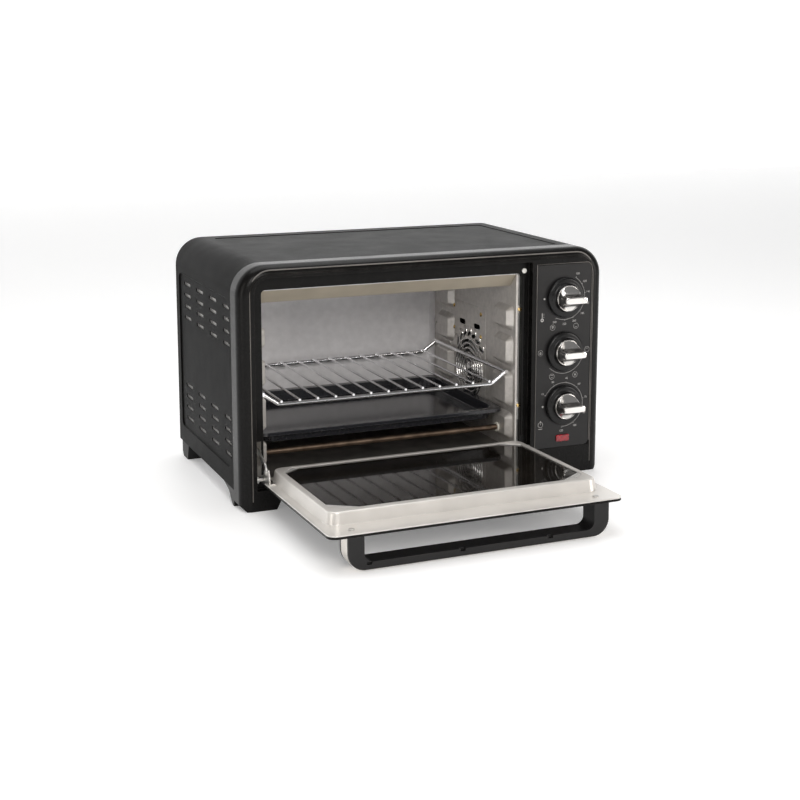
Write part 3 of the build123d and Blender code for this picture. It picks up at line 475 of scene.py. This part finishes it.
dial_x = 183.5
dial_heights = {"timer": 89.5, "function": 158.0, "temperature": 226.5}
ring_radius = 28.2
tick_length = 1.6
digit_radius = 33.2
digit_lift = 0.6
digit_size = 3.6
off_mark_x = 154.8
off_mark_radius = 1.3
for first, last, step, dial, marks in (
    (32, 205, 24.7, "temperature", ("100", "120", "140", "160", "180", "200", "220", "240")),
    (-62, 182, 35, "timer", ("15", "30", "45", "60", "75", "90", "105", "120")),
):
    z = dial_heights[dial]
    print_arc(dial_x, z, ring_radius, first, last)
    for place, mark in enumerate(marks):
        turn = math.radians(first + step * place)
        across = math.sin(turn)
        up = math.cos(turn)
        tick_end = ring_radius + tick_length
        print_line(
            dial_x + ring_radius * across, z + ring_radius * up,
            dial_x + tick_end * across, z + tick_end * up,
        )
        print_text(
            mark, dial_x + digit_radius * across, z + (digit_radius + digit_lift) * up, digit_size
        )
    print_dot(off_mark_x, z - 0.5, off_mark_radius)

# function signs: a small ring with a bar below, a bar above or a fan spot in it
sign_reach_x = 33
sign_reach_z = 36
sign_radius = 3.4
bar_half = 1.5
bar_shift = 1.4
function_z = dial_heights["function"]
print_arc(dial_x, function_z, ring_radius, 100, 225)
for place in range(6):
    turn = math.radians(30 + 60 * place)
    sign_x = dial_x + sign_reach_x * math.sin(turn)
    sign_z = function_z + sign_reach_z * math.cos(turn)
    print_arc(sign_x, sign_z, sign_radius, 0, 360, 0.3)
    if place in (0, 3, 4):
        print_line(sign_x - bar_half, sign_z - bar_shift, sign_x + bar_half, sign_z - bar_shift, 0.4)
    if place in (1, 3, 5):
        print_line(sign_x - bar_half, sign_z + bar_shift, sign_x + bar_half, sign_z + bar_shift, 0.4)
    if place in (2, 4, 5):
        print_arc(sign_x, sign_z, 0.9, 0, 360, 0.5)

# thermometer below the off mark of the temperature dial: bulb, stem and three marks
side_sign_x = 152
bulb_z = 199.5
print_arc(side_sign_x, bulb_z, 1.6, 0, 360, 1.2)
print_line(side_sign_x, bulb_z + 1.5, side_sign_x, bulb_z + 8.5, 0.9)
for rise in (3.5, 5.5, 7.5):
    print_line(side_sign_x + 1.4, bulb_z + rise, side_sign_x + 3, bulb_z + rise, 0.35)

# stop clock below the off mark of the timer: case, hand, button and a line under it
clock_z = 66
print_arc(side_sign_x, clock_z, 3.3, 0, 360, 0.4)
print_line(side_sign_x, clock_z, side_sign_x, clock_z + 2.2, 0.4)
print_line(side_sign_x, clock_z + 3.4, side_sign_x, clock_z + 5, 0.9)
print_line(side_sign_x - 2.8, clock_z - 5.4, side_sign_x + 2.8, clock_z - 5.4, 0.6)
piece("panel_prints", print_points, print_faces, ink, "oven", "panel_plastic")

# ---- controls behind the panel ----
# Phenolic thermostat and switch bodies and a nylon timer.  Plated hexagon nuts on their bushes
# clamp them to the steel bracket; the dials' nylon shafts run in the bushes.
phenolic = surface("phenolic", (0.06, 0.045, 0.035), 0.5)
coat(phenolic, "thermostat", "function_switch")
nylon = surface("nylon", (0.72, 0.7, 0.64), 0.45)
coat(nylon, "timer_drive", "timer_shaft", "function_shaft", "temperature_shaft", "terminal_block")
nut_steel = surface("nut_steel", (0.6, 0.6, 0.6), 0.3, metal=1.0)
coat(nut_steel, "control_nuts")

# ---- dials ----
# Satin black moulded skirts.  Each grip is a plated cap whose round base narrows in two hollow
# scoops, above and below, to a level bar with rounded ends.
# The skirts' edges carry a painted highlight in dark grey.
skirt_black = surface(
    "skirt_black", (0.0045, 0.0045, 0.0048), 0.27, grain=0.08, edge_highlight=0.4,
    edge_highlight_colour=(0.06, 0.058, 0.055), specular=0.3,
)
coat(skirt_black, "timer_skirt", "function_skirt", "temperature_skirt")
plated_grip = surface(
    "plated_grip", (0.8, 0.78, 0.755), 0.17, metal=1.0, mottle=0.03, brushed="X", grain=0.03,
    soft_edge=0.0009,
)
base_radius = 16.3
shoulder_half_length = 15.6
shoulder_half_height = 15.4
bar_half_length = 15.2
bar_half_height = 4.4
grip_back = -9
grip_front = -31
base_depth = 1.8
scoop = 3.2                 # how sharply the base falls away to the bar
grip_layers = 24
round_steps = 64
round_turns = [2 * math.pi * k / round_steps for k in range(round_steps)]
for dial, dial_z in dial_heights.items():
    rings = [
        [
            at(dial_x + radius * math.cos(turn), depth, dial_z + radius * math.sin(turn))
            for turn in round_turns
        ]
        for radius, depth in (
            (base_radius, grip_back),
            (base_radius, grip_back - 1.4),
            (base_radius - 0.4, grip_back - 2),
        )
    ]
    for layer in range(grip_layers + 1):
        along = layer / grip_layers
        depth = grip_back - base_depth + (grip_front - grip_back + base_depth) * along
        fall = (shoulder_half_height - bar_half_height) * (1 - along) ** scoop
        half_height = bar_half_height + fall
        half_length = shoulder_half_length + (bar_half_length - shoulder_half_length) * along
        square = 2 + 3.2 * min(1.0, along * 2.5)        # 2 is an ellipse, more is squarer
        shrink = {grip_layers: 0.9, grip_layers - 1: 0.25}.get(layer, 0)
        ring = []
        for turn in round_turns:
            c = math.cos(turn)
            q = math.sin(turn)
            x = math.copysign(abs(c) ** (2 / square), c) * (half_length - shrink)
            z = math.copysign(abs(q) ** (2 / square), q) * (half_height - shrink)
            ring.append(at(dial_x + x, depth, dial_z + z))
        rings.append(ring)
    points, faces = skin(rings)
    grip = piece(
        f"{dial}_plated_grip", points, faces, plated_grip, f"{dial}_dial", "grip_chrome", 50
    )
    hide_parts(f"{dial}_grip")

# ---- lamp ----
# A red acrylic lens snapped into the panel, uneven behind so that it scatters the light of the
# small neon lamp inside.
lens_red = surface(
    "lens_red", (0.24, 0.002, 0.008), 0.12, grain=0.5, grain_size=0.0022, mottle=0.6,
    mottle_size=0.004,
)
lens_shader = lens_red.node_tree.nodes["Principled BSDF"]
lens_shader.inputs["Coat Weight"].default_value = 0.6
coat(lens_red, "lamp_lens")
neon_glass = surface("neon_glass", (0.8, 0.5, 0.4), 0.1)
coat(neon_glass, "neon_lamp")

# ---- cavity ----
# Aluminised steel walls pressed to shape: a soft warm grey with a light rolling grain, and a
# near-white painted highlight along the pressed corners and edges.
wall_steel = surface(
    "wall_steel", (0.6, 0.575, 0.545), 0.38, metal=0.55, mottle=0.1, mottle_size=0.006,
    brushed="Y", grain=0.06, edge_highlight=0.75, edge_highlight_colour=(0.95, 0.93, 0.9), soft_edge=0.0014,
)
coat(wall_steel, "cavity_left_wall", "cavity_right_wall")
rear_steel = surface(
    "rear_steel", (0.82, 0.81, 0.82), 0.45, metal=0.15, mottle=0.06, mottle_size=0.01,
    brushed="X", grain=0.05,
)
coat(rear_steel, "cavity_rear_wall", "cavity_ceiling")
floor_steel = surface(
    "floor_steel", (0.3, 0.28, 0.26), 0.33, metal=0.8, mottle=0.25, mottle_size=0.02,
    brushed="X", grain=0.05,
)
coat(floor_steel, "cavity_floor")
guard_beige = surface("guard_beige", (0.42, 0.375, 0.3), 0.42, metal=0.35, brushed="X", mottle=0.06)
coat(guard_beige, "upper_guard")

# ---- cavity screws and rivets ----
# Brass-plated pan-head screws with a slot hold the right wall.  Four low rivets in the same
# colour hold the fan plate.
screw_brass = surface("screw_brass", (0.78, 0.56, 0.24), 0.25, metal=1.0)
coat(screw_brass, "liner_screws")
wall_thickness = 0.8
wall_sink = 0.1             # pressed lines start a little inside the wall, so that no gap shows
wall_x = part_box("cavity_rear_wall")[1][0] / MM - wall_thickness


def wall_at(depth, z, inward=0.0):
    """A point on the right cavity wall, a little towards the middle."""
    return at(wall_x - inward, depth, z)


def wall_ring(depth, z, radius, width, proud, start=0, end=360, steps=72, sides=6):
    """Half-round ring or arc pressed up from the right wall."""
    closed = end - start >= 360
    rings = []
    for k in range(steps if closed else steps + 1):
        turn = math.radians(start + (end - start) * k / steps)
        ring = []
        for side in range(sides + 1):
            lean = math.pi * side / sides
            r = radius + math.cos(lean) * width / 2
            ring.append(wall_at(
                depth + r * math.cos(turn),
                z + r * math.sin(turn),
                math.sin(lean) * proud - wall_sink,
            ))
        rings.append(ring)
    if closed:
        rings.append(rings[0])
    return skin(rings, closed=not closed)


def merged(parts):
    """One list of points and faces from several."""
    points = []
    faces = []
    for part_points, part_faces in parts:
        start = len(points)
        points.extend(part_points)
        faces.extend(tuple(start + k for k in face) for face in part_faces)
    return points, faces


def dome(centre, out, radius, height, rows=4, sides=20):
    """Low round head standing on a surface along a direction."""
    out = Vector(out).normalized()
    across = out.orthogonal().normalized()
    other = out.cross(across)
    rings = []
    for row in range(rows + 1):
        lean = math.pi / 2 * row / rows
        r = radius * max(0.04, math.cos(lean))
        rise = out * height * math.sin(lean)
        ring = []
        for k in range(sides):
            turn = 2 * math.pi * k / sides
            spoke = across * math.cos(turn) + other * math.sin(turn)
            ring.append(Vector(centre) + rise + spoke * r)
        rings.append(ring)
    return skin(rings)


rivet_radius = 3 * MM
rivet_height = 1.5 * MM
rivet_spots = [(depth, z) for z in (190, 160) for depth in (112, 194)]
into_cavity = (-1, 0, 0)
rivets = merged([
    dome(wall_at(depth, z), into_cavity, rivet_radius, rivet_height) for depth, z in rivet_spots
])
piece("fan_plate_rivets", *rivets, screw_brass, "oven", "right_wall_steel")

# ---- fan grille ----
# The openings are punched in the wall and the bars between them pressed up round and bright, with
# a low hub in the middle and seven short lips over the top.  A fine line frames the fan plate.
grille_bright = surface(
    "grille_bright", (0.82, 0.81, 0.79), 0.2, metal=1.0, mottle=0.05, grain=0.04
)
grille_depth = 146
grille_z = 113
bar_radii = (13.25, 19.75, 26.25, 32.75, 39.3)
hub_radius = 7.5 * MM
hub_height = 1.6 * MM
lip_reach = 49.5
lip_radius = 6.4
bars = [wall_ring(grille_depth, grille_z, radius, 2.6, 1.5) for radius in bar_radii]
bars.append(dome(wall_at(grille_depth, grille_z), into_cavity, hub_radius, hub_height))
for lip in range(7):
    lip_angle = 40 + 16.5 * lip
    turn = math.radians(lip_angle)
    bars.append(
        wall_ring(
            grille_depth + lip_reach * math.cos(turn),
            grille_z + lip_reach * math.sin(turn),
            lip_radius, 1.6, 1.3, start=lip_angle + 10, end=lip_angle + 110, steps=14,
        )
    )
piece("grille_bars", *merged(bars), grille_bright, "oven", "right_wall_steel")
plate_front = 98
plate_back = 205
plate_top = 198
plate_foot = 64
edge_half_width = 0.9
edge_proud = 0.5
edge_sink = 0.05
edge_steps = 4
plate_edge = []
corners = (
    (plate_front, plate_top), (plate_back, plate_top),
    (plate_back, plate_foot), (plate_front, plate_foot),
)
for near, far in zip(corners, corners[1:] + corners[:1]):
    along = Vector((far[0] - near[0], far[1] - near[1])).normalized()
    ends = []
    for depth, z in (near, far):
        end = []
        for side in range(edge_steps + 1):
            lean = math.pi * side / edge_steps
            off = math.cos(lean) * edge_half_width
            rise = math.sin(lean) * edge_proud - edge_sink
            end.append(wall_at(depth - along.y * off, z + along.x * off, rise))
        ends.append(end)
    plate_edge.append(skin(ends))
piece("fan_plate_edge", *merged(plate_edge), wall_steel, "oven", "right_wall_steel")

# ---- heaters ----
# Steel-sheathed tubular elements, two above and two below, heat-browned along their length.
# Their ends stand in glazed steatite bushes in the side walls.
sheath = surface(
    "sheath", (0.2, 0.145, 0.105), 0.32, metal=0.9, mottle=0.45, mottle_size=0.015,
    grain_size=0.0015, soft_edge=0,
)
coat(sheath, "upper_heaters", "lower_heaters")
steatite = surface("steatite", (0.8, 0.78, 0.7), 0.35)
coat(steatite, "heater_bushes")

# ---- fan ----
# Pressed aluminium wheel on a steel shaft, driven by a small shaded-pole motor.  The wheel turns
# in a pan behind the grille; all three have the same bright grey finish.
fan_aluminium = surface("fan_aluminium", (0.7, 0.7, 0.7), 0.35, metal=1.0)
coat(fan_aluminium, "fan_wheel", "fan_shaft", "fan_motor")

# ---- cord gland ----
# Soft black rubber pressed into the back panel, where it would keep a cord off the edge of the
# hole.
gland_black = surface("gland_black", (0.02, 0.02, 0.02), 0.6)
coat(gland_black, "cord_gland")

# ---- hinge and spring ----
# Plain nickel-plated steel.  The arm is riveted to the door's left ear and hooks on the spring,
# which is close-wound wire: its coils are fine ridges in the finish.
# Its edges carry a painted highlight, near white.
link_steel = surface(
    "link_steel", (0.55, 0.54, 0.52), 0.32, metal=1.0, edge_highlight=0.6, edge_highlight_colour=(0.9, 0.9, 0.88)
)
coat(link_steel, "hinge_pins", "door_ears", "left_link_arm", "handle_screws", "glass_clips")
coil_steel = surface("coil_steel", (0.42, 0.41, 0.4), 0.3, metal=1.0, soft_edge=0)
coil_tree = coil_steel.node_tree
coils = coil_tree.nodes.new("ShaderNodeTexWave")
coils.bands_direction = "Z"
coils.inputs["Scale"].default_value = 175
coil_place = coil_tree.nodes.new("ShaderNodeTexCoord")
coil_relief = coil_tree.nodes.new("ShaderNodeBump")
coil_relief.inputs["Distance"].default_value = 0.0009
coil_tree.links.new(coil_place.outputs["Object"], coils.inputs["Vector"])
coil_tree.links.new(coils.outputs["Fac"], coil_relief.inputs["Height"])
coil_shader = coil_tree.nodes["Principled BSDF"]
coil_tree.links.new(coil_relief.outputs["Normal"], coil_shader.inputs["Normal"])
coat(coil_steel, "door_spring")

# ---- bumper ----
# A moulded silicone button in the corner of the door recess.  It quietens the door as it
# closes.
silicone = surface("silicone", (0.75, 0.74, 0.7), 0.5)
coat(silicone, "door_bumper")

# ---- door ----
# Black outer panel, and a pressed inner frame enamelled a warm silver-cream, holding two panes of
# smoke-brown glass. The edges of both carry painted highlights, near white on the cream frame.
coat(frame_black, "door_outer_panel")
door_cream = surface(
    "door_cream", (0.7, 0.675, 0.64), 0.33, metal=0.45, mottle=0.05, grain=0.05, edge_highlight=0.85,
    edge_highlight_colour=(0.98, 0.97, 0.95), soft_edge=0.0016,
)
coat(door_cream, "door_inner_frame")
smoke_glass = surface(
    "smoke_glass", (0.009, 0.0075, 0.006), 0.045, mottle=0.3, grain=0.0, soft_edge=0,
    rough_swing=0.02,
)
smoke_glass.node_tree.nodes["Principled BSDF"].inputs["IOR"].default_value = 1.6
coat(smoke_glass, "door_inner_glass", "door_outer_glass")

# ---- window corner plates ----
# Thin bright triangles tucked under the pressed frame at the window's corners, where they hold
# the inner pane; the two at the door's free edge are the larger.
hinge_depth = 4
hinge_height = 37
door_middle = -40
lie = math.radians(1.2)     # the open door's slope


def on_door(x, along, inside):
    """A point on the open door in millimetres: along from the hinge line, inside the sealing face."""
    return at(
        door_middle + x,
        hinge_depth - along * math.cos(lie) + inside * math.sin(lie),
        hinge_height + along * math.sin(lie) + inside * math.cos(lie),
    )


plate_steel = surface("plate_steel", (0.9, 0.88, 0.85), 0.3, metal=0.7, mottle=0.06, grain=0.06)
window_half = 152.5
free_edge = (187.5, -1, 25)     # place along the door, way the leg runs, size of the leg
hinge_edge = (12.5, 1, 19)
leg_across = 1.2
leg_along = 0.85
plate_faces = (12.45, 13.25)
plates = []
for side in (-1, 1):
    for along, step, leg in (free_edge, hinge_edge):
        corner = [
            (side * window_half, along),
            (side * (window_half - leg * leg_across), along),
            (side * window_half, along + step * leg * leg_along),
        ]
        if side * step > 0:
            corner.reverse()
        plates.append(skin([[on_door(x, s, face) for x, s in corner] for face in plate_faces]))
piece("window_corner_plates", *merged(plates), plate_steel, "door", "door_inner_steel")

# ---- handle ----
# A charcoal plastic bow with a bright anodised band let into its outer face, screwed on from
# inside the door.
# The bow's edges carry a painted highlight in dark grey.
handle_black = surface(
    "handle_black", (0.009, 0.0086, 0.0088), 0.4, grain=0.25, edge_highlight=0.5, edge_highlight_colour=(0.12, 0.115, 0.11),
    soft_edge=0.001, specular=0.3,
)
coat(handle_black, "door_handle")
band_satin = surface("band_satin", (0.78, 0.74, 0.68), 0.24, metal=0.9, brushed="X")
coat(band_satin, "handle_band")

# ---- rack and tray ----
# Chrome-plated wire, welded at every crossing; a black vitreous-enamelled pressed steel tray with a
# fine orange-peel shine, and a grey painted highlight along its rim and edges.
rack_chrome = surface("rack_chrome", (0.85, 0.85, 0.86), 0.12, metal=1.0, mottle=0.05, soft_edge=0)
coat(rack_chrome, "wire_rack")
tray_enamel = surface(
    "tray_enamel", (0.016, 0.0165, 0.02), 0.13, mottle=0.3, mottle_size=0.002, grain=0.1,
    grain_size=0.004, edge_highlight=0.7, edge_highlight_colour=(0.3, 0.3, 0.31), soft_edge=0.0012,
)
coat(tray_enamel, "baking_tray")
